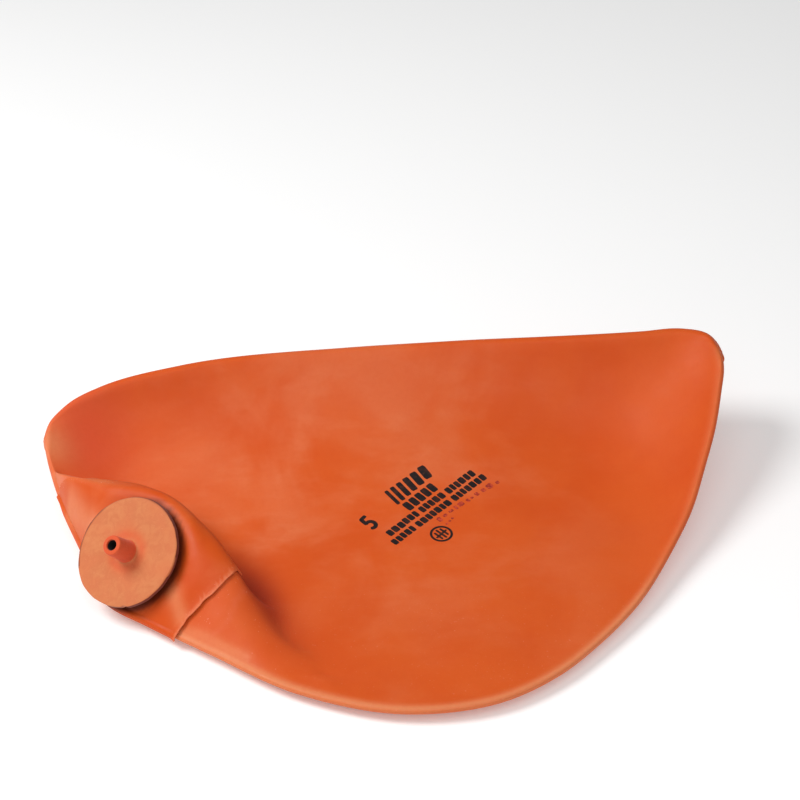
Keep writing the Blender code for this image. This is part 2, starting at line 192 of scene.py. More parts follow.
SHADE_FADE = 2.1

# The studio: the floor's half width, the camera and what it aims at.
FLOOR_REACH = 3.0
CAMERA_LENS = 85
CAMERA_DISTANCE = 0.66
CAMERA_ELEVATION = math.radians(34)
CAMERA_AIM = Vector((0.0043, 0.0912, -0.004))


# --- The sheet's shape ---


def run_along(line):
    """How far it is along a line of points from its first point to each."""
    return np.concatenate([[0.0], np.cumsum(np.linalg.norm(np.diff(line, axis=0), axis=1))])


def between(wanted, at, line):
    """Points of a line at the wanted places, on the straight between the places where its points lie."""
    return np.stack([np.interp(wanted, at, column) for column in line.T], axis=-1)


def curve_through(points, shares):
    """Points at the given shares of the length of a smooth curve through the listed points."""
    knots = np.array(points) * MM
    at = run_along(knots)
    slopes = np.gradient(knots, at, axis=0)
    fine = np.linspace(0.0, at[-1], SAMPLES_PER_KNOT * len(knots))
    start = np.clip(np.searchsorted(at, fine, side="right") - 1, 0, len(at) - 2)
    span = (at[start + 1] - at[start])[:, None]
    f = (fine - at[start])[:, None] / span
    curve = (1 - f) ** 2 * ((1 + 2 * f) * knots[start] + f * span * slopes[start])
    curve += f**2 * ((3 - 2 * f) * knots[start + 1] - (1 - f) * span * slopes[start + 1])
    run = run_along(curve)
    return between(np.asarray(shares) * run[-1], run, curve)


def smooth_step(value):
    """0 below 0, 1 above 1, and smooth between."""
    v = np.clip(value, 0.0, 1.0)
    return v**3 * (v * (6 * v - 15) + 10)


def bump(distance, width):
    """1 at no distance, falling smoothly to almost nothing at twice the width."""
    return np.exp(-((distance / width) ** 2))


def station_shares():
    """Shares along the lip and the fold, closer together round the valve and at both tips."""
    fine = np.linspace(TIP_SHARE, 1 - TIP_SHARE, 4000)
    density = 1 + VALVE_CROWDING * bump(fine - VALVE_SHARE, VALVE_CROWD_REACH)
    for from_tip in (fine, 1 - fine):
        density += TIP_CROWDING * np.exp(-from_tip / TIP_CROWD_REACH)
    run = np.cumsum(density)
    run = (run - run[0]) / (run[-1] - run[0])
    return np.interp(np.linspace(0.0, 1.0, STATIONS), run, fine)


def dish_surface(shares, rows):
    """The top of the folded sheet before it swells, as a grid of points, one line of rows for each share."""
    lip = curve_through(LIP, shares)[:, None, :]
    fold = curve_through(FOLD, shares)[:, None, :]
    t = np.asarray(rows)[None, :]
    grid = lip + (fold - lip) * t[:, :, None]
    length = np.linalg.norm((fold - lip)[..., :2], axis=-1)
    sagged = STACK + (lip[..., 2] - STACK) * (1 - t) ** DISH_LIP_POWER
    sagged = sagged + (fold[..., 2] - STACK) * t**DISH_FOLD_POWER
    grid[..., 2] += (sagged - grid[..., 2]) * smooth_step(length / FULL_SAG_LENGTH)
    return grid


def surface_normals(grid):
    """Upward unit normals of a grid of points."""
    normals = np.cross(np.gradient(grid, axis=0), np.gradient(grid, axis=1))
    return normals / np.linalg.norm(normals, axis=-1, keepdims=True)


def slimming(shares):
    """What share of its thickness the folded sheet keeps: its two tips are rounded off like an egg's end."""
    from_tip = np.minimum(shares, 1 - np.asarray(shares))
    into = np.clip((from_tip - TIP_SHARE) / TIP_ROUND_SHARE + TIP_START, 0, 1)
    return np.sqrt(1 - (1 - into) ** 2)


def nearest_on(line, plan):
    """Distance in plan to a line of evenly spaced points, and the nearest place on it, counted in points."""
    tangents = np.gradient(line[:, :2], axis=0)
    spacing = np.linalg.norm(tangents, axis=-1)
    tangents = tangents / spacing[:, None]
    distance = np.empty(plan.shape[:-1])
    place = np.empty(plan.shape[:-1])
    for index, points in enumerate(plan):
        gaps = np.linalg.norm(points[:, None, :] - line[:, :2], axis=-1)
        nearest = gaps.argmin(axis=-1)
        offset = points - line[nearest, :2]
        along = (offset * tangents[nearest]).sum(axis=-1)
        along = np.clip(along, -spacing[nearest] / 2, spacing[nearest] / 2)
        distance[index] = np.linalg.norm(offset - along[:, None] * tangents[nearest], axis=-1)
        place[index] = nearest + along / spacing[nearest]
    return distance, place


def back_steepness(share):
    """How steeply the ridge falls to the dish behind it, at a share of its length: most at the valley."""
    steepness = BACK_STEEPNESS * (1 - TAIL_EASING * smooth_step((share - TAIL_PLACE) / TAIL_LENGTH))
    return steepness + VALLEY_STEEPNESS * bump(share - VALLEY_PLACE, VALLEY_REACH)


def flat_seat(plan, to_lip):
    """The level of the valve's flat seat at each place in plan, and how strongly the skin keeps to it."""
    seat = np.array(VALVE_SEAT)
    axis = np.array(VALVE_AXIS)
    across = plan - seat[:2]
    plane = seat[2] - (across @ axis[:2]) / axis[2]
    from_seat = np.sqrt((across**2).sum(axis=-1) + (plane - seat[2]) ** 2)
    flat = 1 - smooth_step((from_seat - FLAT_RADIUS) / (FLAT_FADE - FLAT_RADIUS))
    return plane, flat * smooth_step(to_lip / FLAT_LIP_MARGIN)


def swelling(grid):
    """How far the upper wall stands over the dish where the valve's hub and the patch hold it up."""
    plan = grid[..., :2]
    ridge = curve_through(RIDGE, np.linspace(0, 1, CURVE_SAMPLES))
    lip = curve_through(LIP, np.linspace(0, 1, CURVE_SAMPLES))
    to_ridge, place = nearest_on(ridge, plan)
    to_lip, _ = nearest_on(lip, plan)
    nearest = between(place, np.arange(CURVE_SAMPLES), ridge)
    along = np.gradient(ridge[:, :2], axis=0)[np.rint(place).astype(int).clip(0, CURVE_SAMPLES - 1)]
    offset = plan - nearest[..., :2]
    outer_side = along[..., 0] * offset[..., 1] - along[..., 1] * offset[..., 0] < 0
    height = nearest[..., 2] - grid[..., 2]
    climb = to_lip / (to_lip + to_ridge + NO_DISTANCE)
    front = np.sin(FRONT_TURN * climb) / math.sin(FRONT_TURN)
    steepness = back_steepness(place / CURVE_SAMPLES)
    back = bump(to_ridge * steepness, np.maximum(height, LEAST_RIDGE_HEIGHT))
    raised = height * np.where(outer_side, front, back)
    plane, flat = flat_seat(plan, to_lip)
    raised = raised + (plane - grid[..., 2] - raised) * flat
    return np.maximum(raised, 0.0)


def rows_at(grid, rows, wanted):
    """The grid's values at other row positions, each station by its own list."""
    return np.stack([between(places, rows, line) for places, line in zip(wanted, grid)])


def folded_sheet(shares, rows, lower_rows):
    """The folded double sheet's mid-surface, half its thickness as vectors, and the upper wall's swelling."""
    dish = dish_surface(shares, rows)
    normals = surface_normals(dish)
    raised = swelling(dish)
    slim = slimming(shares)[:, None]
    dish = dish - normals * ((1 - slim) * STACK / 2)[..., None]
    sheet = (SHEET * slim)[..., None]
    stack = (STACK * slim)[..., None]
    upper = dish - normals * sheet / 2
    out = dish[:, -1] - dish[:, -2]
    out = out / np.linalg.norm(out, axis=-1, keepdims=True)
    turns = [math.pi * step / (FOLD_STEPS + 1) for step in range(1, FOLD_STEPS + 1)]
    radial = [math.cos(turn) * normals[:, -1] + math.sin(turn) * out for turn in turns]
    radius = (stack - sheet)[:, 0] / 2
    centre = dish[:, -1] - normals[:, -1] * stack[:, 0] / 2
    folds = np.stack([centre + way * radius for way in radial], axis=1)
    length = np.linalg.norm(dish[:, -1] - dish[:, 0], axis=-1)
    set_back = LOWER_LIP_SET_BACK + SET_BACK_PER_HEIGHT * (dish[:, 0, 2] - STACK)
    set_back = np.minimum(set_back / length, MOST_SET_BACK_SHARE)[:, None]
    below_rows = set_back + (1 - set_back) * np.asarray(lower_rows)[None, :]
    lower_dish = rows_at(dish, rows, below_rows)
    lower_normals = rows_at(normals, rows, below_rows)
    lower = (lower_dish - lower_normals * (stack - sheet / 2))[:, ::-1]
    middle = np.concatenate([upper, folds, lower], axis=1)
    half = np.concatenate([normals, np.stack(radial, axis=1), -lower_normals[:, ::-1]], axis=1) * sheet / 2
    lift = np.zeros(middle.shape[:2])
    lift[:, : raised.shape[1]] = raised
    return middle, half, lift


def edge_of(middle, half):
    """The grid's outline in order, as index pairs, and the direction out of the sheet at each."""
    last_station, last_row = middle.shape[0] - 1, middle.shape[1] - 1
    loop = [(s, 0) for s in range(last_station)]
    loop += [(last_station, r) for r in range(last_row)]
    loop += [(s, last_row) for s in range(last_station, 0, -1)]
    loop += [(0, r) for r in range(last_row, 0, -1)]
    ways = []
    for s, r in loop:
        inside = (min(max(s, 1), last_station - 1), min(max(r, 1), last_row - 1))
        way = middle[s, r] - middle[inside]
        thick = half[s, r] / np.linalg.norm(half[s, r])
        way = way - thick * (way @ thick)
        ways.append(way / np.linalg.norm(way))
    return loop, np.array(ways)


def round_edge(middle, half):
    """Rows of points that join the sheet's outer side to its inner side round its edge."""
    loop, ways = edge_of(middle, half)
    where = tuple(np.array(loop).T)
    rows = []
    for step in range(1, LIP_STEPS + 1):
        turn = math.pi * step / (LIP_STEPS + 1)
        out = ways * np.linalg.norm(half[where], axis=-1, keepdims=True)
        rows.append(middle[where] + math.cos(turn) * half[where] + math.sin(turn) * out)
    return loop, rows


def from_axis(points):
    """Height over the valve seat along its axis, distance from the axis, and bearing round it in degrees."""
    place = np.array(along_axis(Vector()).inverted())
    local = points @ place[:3, :3].T + place[:3, 3]
    radius = np.linalg.norm(local[..., :2], axis=-1)
    return local[..., 2], radius, np.degrees(np.arctan2(local[..., 1], local[..., 0]))


def along_axis(local):
    """Where a piece's local Z lies along the valve's axis, its X level and its Y up the slope."""
    up_slope = (Vector((0, 0, 1)) - VALVE_AXIS * VALVE_AXIS.z).normalized()
    level = up_slope.cross(VALVE_AXIS)
    turn = Matrix((level, up_slope, VALVE_AXIS)).transposed().to_4x4()
    return Matrix.Translation(VALVE_SEAT) @ turn @ Matrix.Translation(local)


# --- Meshes ---


def numbered(grid):
    """A vertex number for each point of a grid."""
    return np.arange(grid.shape[0] * grid.shape[1]).reshape(grid.shape[:2])


def quads(grid):
    """Faces over a grid of vertex numbers."""
    corners = [grid[:-1, :-1], grid[1:, :-1], grid[1:, 1:], grid[:-1, 1:]]
    return np.stack([corner.ravel() for corner in corners], axis=-1)


def placed(name, data):
    """A new object of the scene that shows the data."""
    made = bpy.data.objects.new(name, data)
    bpy.context.scene.collection.objects.link(made)
    return made


def mesh_object(name, points, faces):
    """A mesh object of the points and faces, smoothly shaded, with its faces turned outwards."""
    mesh = bpy.data.meshes.new(name)
    mesh.from_pydata([tuple(p) for p in points], [], [tuple(f) for f in faces])
    bm = bmesh.new()
    bm.from_mesh(mesh)
    bmesh.ops.recalc_face_normals(bm, faces=bm.faces)
    bm.to_mesh(mesh)
    bm.free()
    mesh.shade_smooth()
    return placed(name, mesh)


def paint(made, **marks):
    """Stores each mark as one number from 0 to 1 for each vertex, for a material to read."""
    for name, values in marks.items():
        attribute = made.data.attributes.new(name, "FLOAT", "POINT")
        attribute.data.foreach_set("value", np.clip(values, 0, 1).astype(np.float32))


def coordinates(made):
    """The object's vertices as an array."""
    flat = np.empty(len(made.data.vertices) * 3, np.float32)
    made.data.vertices.foreach_get("co", flat)
    return flat.reshape(-1, 3).astype(float)


def bake_modifiers(made):
    """Replaces the object's mesh with what its modifiers make of it."""
    bpy.context.view_layer.update()
    graph = bpy.context.evaluated_depsgraph_get()
    mesh = bpy.data.meshes.new_from_object(made.evaluated_get(graph))
    made.modifiers.clear()
    made.data = mesh


def finish_piece(made, body, nodes, material):
    """Gives the piece its material and its body, and hides the CAD nodes that it stands for."""
    made.data.materials.clear()  # a Boolean leaves an empty first slot
    made.data.materials.append(material)
    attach(made, body)
    if nodes:
        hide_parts(*nodes)


# --- Materials ---


class Shader:
    """A small helper for writing a material's node tree."""

    def __init__(self, name):
        self.material = bpy.data.materials.new(name)
        self.material.use_nodes = True
        self.tree = self.material.node_tree
        self.surface = self.tree.nodes["Principled BSDF"]
        self.place = self.node("ShaderNodeTexCoord").outputs["Object"]

    def node(self, kind, **values):
        """A new node with the given settings."""
        made = self.tree.nodes.new(kind)
        for key, value in values.items():
            setattr(made, key, value)
        return made

    def feed(self, socket, value):
        """Links a socket to an output, or sets its value."""
        if isinstance(value, bpy.types.NodeSocket):
            self.tree.links.new(value, socket)
        else:
            socket.default_value = value

    def fill(self, node, **values):
        """Feeds the node's inputs, each named by its label in lower case with underscores."""
        for name, value in values.items():
            label = name.replace("_", " ").title().replace("Ior", "IOR")
            self.feed(node.inputs[label], value)
        return node

    def noise(self, size, detail=3.0, roughness=0.5, stretch=(1, 1, 1), distortion=0.0):
        """Noise whose lumps are about the given size in metres."""
        mapping = self.fill(self.node("ShaderNodeMapping"), vector=self.place, scale=stretch)
        made = self.fill(
            self.node("ShaderNodeTexNoise"), vector=mapping.outputs["Vector"], scale=1 / size,
            detail=detail, roughness=roughness, distortion=distortion,
        )
        return made.outputs["Fac"]

    def painted(self, name):
        """The numbers that paint() stored."""
        return self.node("ShaderNodeAttribute", attribute_name=name).outputs["Fac"]

    def spread(self, value, low, high, to_low=0.0, to_high=1.0):
        """Maps low to high onto new limits, smoothly, and clamps."""
        made = self.node("ShaderNodeMapRange", interpolation_type="SMOOTHSTEP")
        self.fill(made, value=value, from_min=low, from_max=high, to_min=to_low, to_max=to_high)
        return made.outputs["Result"]

    def sums(self, operation, first, second):
        """One arithmetic step."""
        made = self.node("ShaderNodeMath", operation=operation)
        self.feed(made.inputs[0], first)
        self.feed(made.inputs[1], second)
        return made.outputs["Value"]

    def mix(self, factor, first, second):
        """The first colour turning into the second as the factor rises."""
        made = self.node("ShaderNodeMix", data_type="RGBA")
        self.feed(made.inputs["Factor"], factor)
        self.feed(made.inputs[6], first)
        self.feed(made.inputs[7], second)
        return made.outputs[2]

    def marked(self, colour, **tones):
        """The colour with each painted mark laid over it in turn, in the mark's own screen colour."""
        for name, tone in tones.items():
            colour = self.mix(self.painted(name), colour, rgb(*tone))
        return colour

    def bumps(self, height, distance, under=None):
        """A bump layer of the given depth in metres, over another layer."""
        made = self.fill(self.node("ShaderNodeBump"), height=height, distance=distance, strength=1.0)
        if under is not None:
            self.fill(made, normal=under)
        return made.outputs["Normal"]

    def done(self, colour, roughness, normal, **fixed):
        """Joins the layers to the surface, sets its fixed values and returns the material."""
        self.fill(self.surface, base_color=colour, roughness=roughness, normal=normal, **fixed)
        return self.material


def rgb(red, green, blue):
    """A linear colour from screen values of 0 to 255."""
    screen = np.array([red, green, blue]) / 255
    linear = np.where(screen <= 0.04045, screen / 12.92, ((screen + 0.055) / 1.055) ** 2.4)
    return (*linear.tolist(), 1.0)


LATEX_SURFACE = {
    "subsurface_weight": 0.12, "subsurface_radius": (1.0, 0.35, 0.12), "subsurface_scale": 1.5 * MM,
    "specular_ior_level": 0.2, "sheen_weight": 0.02, "sheen_roughness": 0.5,
}


def latex_skin():
    """Dipped natural latex: clear orange under cloudy bloom with painted light and shade in it, talc, painted
    highlights on its edges and crests, a reddish blush and painted shade in the valley.
    """
    s = Shader("orange_latex_skin")
    cloud = s.spread(s.noise(38 * MM, 4.0, 0.55, distortion=0.6), 0.42, 0.68)
    streak = s.spread(s.noise(16 * MM, 3.0, 0.6, (1.0, 2.2, 1.0)), 0.45, 0.75)
    grain = s.noise(1.4 * MM, 3.0, 0.6)
    specks = s.spread(s.noise(0.55 * MM, 2.0, 0.5), 0.69, 0.76)
    bloom = s.sums("MULTIPLY", s.sums("ADD", cloud, s.sums("MULTIPLY", streak, 0.45)), s.painted("bloom"))
    colour = s.mix(s.spread(s.noise(24 * MM, 3.0), 0.3, 0.7), rgb(214, 84, 25), rgb(219, 91, 30))
    colour = s.mix(s.sums("MULTIPLY", bloom, 0.55), colour, rgb(226, 119, 74))
    colour = s.marked(
        colour, blush=(226, 86, 52), pale=(232, 146, 98), cement=(222, 104, 66), deep=(172, 52, 22)
    )
    colour = s.mix(s.sums("MULTIPLY", specks, s.painted("dust")), colour, rgb(246, 190, 158))
    colour = s.mix(s.spread(grain, 0.35, 0.75, 0.0, 0.10), colour, rgb(206, 70, 24))
    roughness = s.spread(s.noise(9 * MM, 4.0), 0.3, 0.7, 0.44, 0.58)
    waves = s.bumps(s.noise(12 * MM, 2.0), 0.18 * MM)
    normal = s.bumps(grain, 0.012 * MM, waves)
    return s.done(colour, roughness, normal, **LATEX_SURFACE)


def patch_skin():
    """The patch: the same latex, a little cleaner, with pale cut edges, painted highlights on its crests and a
    painted shadow under the flange.
    """
    s = Shader("patch_latex_skin")
    cloud = s.spread(s.noise(14 * MM, 4.0, 0.55, distortion=0.5), 0.45, 0.72)
    grain = s.noise(1.2 * MM, 3.0, 0.6)
    specks = s.spread(s.noise(0.5 * MM, 2.0, 0.5), 0.66, 0.74)
    colour = s.mix(s.spread(s.noise(20 * MM, 3.0), 0.3, 0.7), rgb(208, 76, 14), rgb(214, 87, 22))
    colour = s.mix(s.sums("MULTIPLY", cloud, 0.3), colour, rgb(221, 108, 62))
    colour = s.marked(colour, pale=(232, 146, 98), edge=(233, 138, 96), shade=(84, 26, 10))
    colour = s.mix(s.sums("MULTIPLY", specks, s.painted("dust")), colour, rgb(248, 200, 172))
    colour = s.mix(s.spread(grain, 0.35, 0.75, 0.0, 0.10), colour, rgb(202, 66, 22))
    roughness = s.spread(s.noise(7 * MM, 4.0), 0.3, 0.7, 0.42, 0.56)
    normal = s.bumps(grain, 0.012 * MM, s.bumps(s.noise(9 * MM, 2.0), 0.12 * MM))
    return s.done(colour, roughness, normal, **LATEX_SURFACE)


def moulded_rubber():
    """The valve's moulded gum rubber: matte tan orange under a mottled coat of talc, darker where handled,
    with painted shade on the flange's side and underside, and near black in the bore.
    """
    s = Shader("tan_moulded_rubber")
    mottle = s.spread(s.noise(3.2 * MM, 5.0, 0.65, distortion=0.8), 0.36, 0.66)
    patches = s.spread(s.noise(8 * MM, 3.0, 0.5), 0.38, 0.66)
    grain = s.noise(0.45 * MM, 3.0, 0.6)
    specks = s.spread(grain, 0.64, 0.74)
    colour = s.mix(mottle, rgb(203, 113, 65), rgb(210, 127, 79))
    colour = s.mix(s.sums("MULTIPLY", patches, 0.4), colour, rgb(209, 108, 64))
    colour = s.marked(colour, worn=(218, 76, 30))
    colour = s.mix(s.sums("MULTIPLY", specks, 0.4), colour, rgb(226, 156, 118))
    colour = s.marked(colour, rim=(118, 42, 20), bore=(22, 9, 6))
    roughness = s.spread(mottle, 0.0, 1.0, 0.62, 0.82)
    normal = s.bumps(grain, 0.035 * MM, s.bumps(s.noise(2.4 * MM, 3.0), 0.10 * MM))
    return s.done(colour, roughness, normal, specular_ior_level=0.25, sheen_weight=0.10, sheen_roughness=0.6)


def gum_core():
    """The soft amber gum of the self-closing core."""
    s = Shader("amber_core_gum")
    grain = s.noise(0.6 * MM, 3.0)
    colour = s.mix(s.spread(s.noise(2.5 * MM, 3.0), 0.35, 0.7), rgb(176, 116, 66), rgb(198, 142, 88))
    roughness = s.spread(grain, 0.3, 0.7, 0.35, 0.5)
    return s.done(
        colour, roughness, s.bumps(grain, 0.02 * MM), subsurface_weight=0.2,
        subsurface_radius=(1.0, 0.6, 0.3), subsurface_scale=1.0 * MM, specular_ior_level=0.45,
    )


def stamp_ink(name, full, thin, gaps):
    """Stamp ink that lies unevenly: solid in places, thin where the stamp missed the latex."""
    s = Shader(name)
    missed = s.spread(s.noise(0.75 * MM, 3.0, 0.6), gaps, gaps + 0.16)
    broad = s.spread(s.noise(3.5 * MM, 2.0), 0.45, 0.75, 0.0, 0.55)
    colour = s.mix(s.sums("MAXIMUM", missed, broad), full, thin)
    grain = s.noise(0.4 * MM, 3.0)
    return s.done(
        colour, s.spread(missed, 0.0, 1.0, 0.55, 0.65), s.bumps(grain, 0.02 * MM), specular_ior_level=0.3
    )


# --- The bladder's skin ---


def sheet_walls():
    """The folded sheet's mid-surface, half its thickness as vectors, and its swollen outer side."""
    rows = np.linspace(0, 1, UPPER_ROWS) ** ROW_CROWDING
    lower_rows = np.linspace(0, 1, LOWER_ROWS) ** ROW_CROWDING
    middle, half, lift = folded_sheet(station_shares(), rows, lower_rows)
    outer = middle + half
    outer[..., 2] += lift
    outer[..., 2] += surface_detail(outer)
    return middle, half, outer


def open_neck(points, faces, upper):
    """The points and faces with a round neck hole cut through the upper wall at the valve's seat."""
    height, radius, _ = from_axis(points)
    removed = upper & (radius < NECK_HOLE_RADIUS) & (np.abs(height) < NECK_HOLE_RADIUS)
    cut_faces = removed[faces].any(axis=1)
    rim = np.zeros(len(points), bool)
    rim[np.unique(faces[cut_faces])] = True
    rim &= ~removed
    seat = np.array(VALVE_SEAT) + height[rim, None] * np.array(VALVE_AXIS)
    points[rim] = seat + (points[rim] - seat) * (NECK_HOLE_RADIUS / radius[rim, None])
    renumbered = np.cumsum(~removed) - 1
    return points[~removed], renumbered[faces[~cut_faces]]


def bladder_skin():
    """The whole outer skin in one closed surface with a round neck hole, given the latex wall's thickness."""
    middle, half, outer = sheet_walls()
    inner = middle - half
    loop, edge_rows = round_edge(middle, half)
    outer_ids = numbered(outer)
    inner_ids = outer_ids + outer_ids.size
    edge_ids = 2 * outer_ids.size + np.arange(len(loop) * LIP_STEPS).reshape(LIP_STEPS, -1)
    where = tuple(np.array(loop).T)
    band = np.concatenate([outer_ids[where][None], edge_ids, inner_ids[where][None]])
    band = np.concatenate([band, band[:, :1]], axis=1)
    points = np.concatenate([outer.reshape(-1, 3), inner.reshape(-1, 3), *edge_rows])
    faces = np.concatenate([quads(outer_ids), quads(inner_ids), quads(band)])
    upper = np.zeros(len(points), bool)
    upper[outer_ids[:, :UPPER_ROWS]] = True
    skin = mesh_object("bladder_skin", *open_neck(points, faces, upper))
    paint_skin(skin)
    walls = skin.modifiers.new("wall", "SOLIDIFY")
    walls.thickness = WALL
    walls.offset = -1.0
    walls.vertex_group = thin_at_tips(skin).name
    return skin


def thin_at_tips(skin):
    """A vertex group that thins the wall towards the two tips, where the folded sheet itself runs thin."""
    group = skin.vertex_groups.new(name="wall_share")
    for index, point in enumerate(coordinates(skin)):
        to_tip = min(np.linalg.norm(point - np.array(tip) * MM) for tip in (LIP[0], LIP[-1]))
        share = TIP_WALL_SHARE + (1 - TIP_WALL_SHARE) * float(smooth_step(to_tip / TIP_WALL_REACH))
        group.add([index], share, "REPLACE")
    return group


def surface_detail(points):
    """Small waves and creases of the upper wall, as heights: they fade out at the lip and the fold."""
    x, y = points[..., 0] / MM, points[..., 1] / MM
    waves = 0.35 * np.sin(x / 21 + 0.6 * np.sin(y / 17)) * np.sin(y / 26 + 1.0)
    waves += 0.12 * np.sin(x / 7.5 + y / 11) * np.sin(y / 9 - x / 16)
    fade = np.zeros(points.shape[:2])
    share = np.linspace(0, 1, UPPER_ROWS)
    fade[:, :UPPER_ROWS] = smooth_step(share / 0.12) * smooth_step((1 - share) / 0.12)
    _, radius, _ = from_axis(points)
    fade = fade * smooth_step((radius - FLAT_RADIUS) / (8 * MM))
    return waves * fade * MM


def from_curve(points, places, samples=MARK_SAMPLES):
    """Distance in plan to a smooth curve through the places, in millimetres, and the share along it."""
    distance, place = nearest_on(curve_through(places, np.linspace(0, 1, samples)), points[None, :, :2])
    return distance[0] / MM, place[0] / samples


def spot(points, centre, width, squash=(1, 1)):
    """A soft mark round a place in plan, its width in millimetres; a squash under 1 stretches it."""
    offset = (points[:, :2] / MM - np.array(centre)) * np.array(squash)
    return bump(np.hypot(offset[:, 0], offset[:, 1]), width)


def paint_skin(skin):
    """Marks where the latex is pale with painted highlights, blushed, cloudy with painted light and shade,
    dusty, smeared with cement, and painted in shade in the valley.
    """
    points = coordinates(skin)
    x, y, z = (points / MM).T
    near_side = smooth_step((-y - 5) / 30)
    to_lip, _ = from_curve(points, LIP, CURVE_SAMPLES)
    to_crest, _ = from_curve(points, LIP_CREST_HIGHLIGHT)
    # Painted highlights: the lip's edge, most on the near side, the crest by the lip, the left tip and the
    # ridge are painted lighter.
    pale = 0.75 * bump(to_lip, 1.3) * (0.35 + 0.65 * near_side)
    for mark in (0.45 * bump(to_crest, 1.4), 0.55 * spot(points, TIP_HIGHLIGHT, 7), ridge_highlight(points)):
        pale = np.maximum(pale, mark)
    blush = np.maximum(0.8 * spot(points, LOBE_BLUSH, 15, (1, 0.9)), 0.3 * spot(points, LIP_BLUSH, 4))
    # The cloudy bloom is real, but it is painted heavier round the centre as painted light, and thinner to the
    # right and over the mound as painted shade.
    bloom = 0.35 + 0.9 * spot(points, CENTRE_BLOOM_AND_LIGHT, 48, (0.8, 1))
    bloom = bloom * (1 - 0.7 * smooth_step((x - 45) / 40)) * (1 - 0.8 * spot(points, MOUND_SHADE, 18))
    cement, dust = cement_and_dust(points, near_side)
    # Painted shade: the valley behind the ridge is painted darker, most where it lies low.
    to_valley, share = from_curve(points, VALLEY)
    deep = bump(to_valley, 6.5) * bump(share - 0.42, 0.55) * smooth_step((20 - z) / 8)
    paint(skin, pale=pale, blush=blush, bloom=bloom, cement=cement, dust=dust, deep=deep)


def cement_and_dust(points, near_side):
    """Smeared cement with a drying line round the patch and at its left, and the talc that sticks to it."""
    height, radius, bearing = from_axis(points)
    radius = radius / MM
    turn = np.radians(bearing)
    wobble = 1.6 * np.sin(9 * turn) + 0.9 * np.sin(23 * turn + 1)
    band = smooth_step((radius + wobble - CEMENT_START) / 2)
    band = band * smooth_step((CEMENT_END + 0.4 * wobble - radius) / 2)
    line = bump(radius + 0.4 * wobble - CEMENT_END, 0.7)
    z = points[:, 2] / MM
    swollen = smooth_step((z - 4) / 4) * smooth_step((12 - np.abs(height / MM)) / 6)
    side = smooth_step((np.cos(turn + math.radians(12)) - 0.45) / 0.35)
    smear = spot(points, LEFT_SMEAR, 7)
    cement = np.maximum((0.1 * band + 0.4 * line) * swollen * side, 0.85 * smear * swollen)
    return cement, np.maximum(0.25 * near_side, np.maximum(smear, 0.4 * band * swollen))


def ridge_highlight(points):
    """How strongly the ridge's crest is painted lighter as a painted highlight, from the left tip to behind
    the valve.
    """
    distance, _ = from_curve(points, RIDGE[:RIDGE_HIGHLIGHT_KNOTS])
    return 0.35 * bump(distance, 1.6) * smooth_step((RIDGE_HIGHLIGHT_END - points[:, 0] / MM) / 10)


# --- The patch ---


def outline_radius(bearing):
    """The patch's radius at a bearing in degrees, with the small raggedness of hand-cut latex."""
    bearings, radii = np.array(PATCH_OUTLINE, float).T
    dense = np.linspace(-540, 540, 2161)
    width = np.interp(dense, bearings, radii, period=360)
    window = np.hanning(31)
    width = np.convolve(width, window / window.sum(), "same")
    turn = np.radians(bearing)
    ragged = 0.14 * np.sin(13 * turn) + 0.10 * np.sin(29 * turn + 1) + 0.06 * np.sin(47 * turn + 2)
    upper_left = bump(turned_from(bearing, UPPER_LEFT_BEARING), 20)
    return (np.interp(bearing, dense, width) + ragged * (1.0 + 2.0 * upper_left)) * MM


def turned_from(bearing, middle):
    """The angle in degrees from a middle bearing, from -180 to 180."""
    return ((bearing - middle + 180) % 360) - 180


def axis_column(name, bearings, radii, bottom, top):
    """A closed column along the valve's axis, with a radius at each bearing."""
    turns = np.radians(bearings)
    ring = np.stack([radii * np.cos(turns), radii * np.sin(turns)], axis=-1)
    ends = [np.column_stack([ring, np.full(len(ring), level)]) for level in (bottom, top)]
    ids = np.arange(len(ring))
    sides = quads(np.stack([np.append(ids, 0), np.append(ids, 0) + len(ring)]).T)
    faces = [tuple(face) for face in sides] + [tuple(ids), tuple(ids + len(ring))]
    return axis_object(name, np.concatenate(ends), faces)


def patch_cutter():
    """A closed column along the valve's axis with the patch's outline."""
    bearings = np.arange(-180.0, 180.0)
    radii = outline_radius(bearings)
    return axis_column("patch_cutter", bearings, radii, -PATCH_DROP_OVER_RIDGE, PATCH_CUTTER_TOP)


def neck_cutter():
    """A closed column the size of the neck hole."""
    bearings = np.linspace(0, 360, NECK_CUTTER_STEPS + 1)[:-1]
    radii = np.full(NECK_CUTTER_STEPS, NECK_HOLE_RADIUS)
    return axis_column("neck_cutter", bearings, radii, -5 * MM, 6 * MM)


def axis_object(name, points, faces):
    """A mesh object whose points are given round the valve's axis."""
    place = np.array(along_axis(Vector()))
    return mesh_object(name, points @ place[:3, :3].T + place[:3, 3], faces)


def patch_sheet():
    """The part of the skin's outer side that the patch is cut from, from under the lip to past the ridge."""
    middle, half, outer = sheet_walls()
    _, edge_rows = round_edge(middle, half)
    from_seat = np.linalg.norm(outer[:, 0] - np.array(VALVE_SEAT), axis=-1)
    near = np.flatnonzero(from_seat < PATCH_REACH)
    nearest_y = outer[near[0] : near[-1], :UPPER_ROWS, 1].min(axis=0)
    last_row = int((nearest_y < PATCH_FAR_SIDE).sum())
    lips = np.stack([row[: STATIONS - 1] for row in edge_rows[PATCH_LIP_STEPS - 1 :: -1]], axis=1)
    return np.concatenate([lips[near], outer[near, :last_row]], axis=1)


